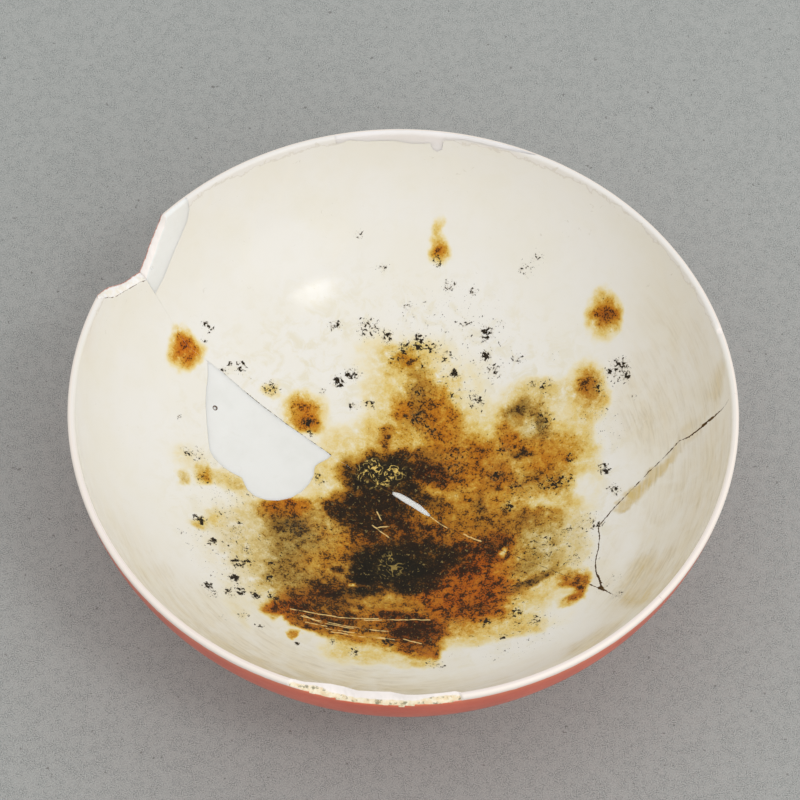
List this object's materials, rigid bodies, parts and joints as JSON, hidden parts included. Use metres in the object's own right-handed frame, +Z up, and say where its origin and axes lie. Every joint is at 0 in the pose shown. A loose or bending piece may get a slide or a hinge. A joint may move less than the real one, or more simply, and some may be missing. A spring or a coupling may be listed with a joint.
{
  "type": "tea bowl",
  "caption": "Round thin porcelain tea bowl on a foot ring, coral red outside and cream inside, broken and glued, with white fills, a chipped rim and a tea-stained well.",
  "frame": {"origin": "on the ground, under the middle of the foot ring", "axes": "+Z up out of the bowl's mouth; -Y towards the front lip that lost its flake; +X to the right, towards the side crack; the missing chip is at the left back"},
  "size_m": [0.12, 0.1199, 0.0435],
  "materials": {
    "glazed_porcelain": "gloss",
    "white_fill": "satin"
  },
  "bodies": {
    "root": {"back_sherd": "glazed_porcelain", "front_sherd": "glazed_porcelain", "right_sherd": "glazed_porcelain", "half_moon_fill": "white_fill", "chip_edge_fill": "white_fill", "well_sliver_fill": "white_fill", "back_rim_fill": "white_fill"}
  },
  "joints": []
}
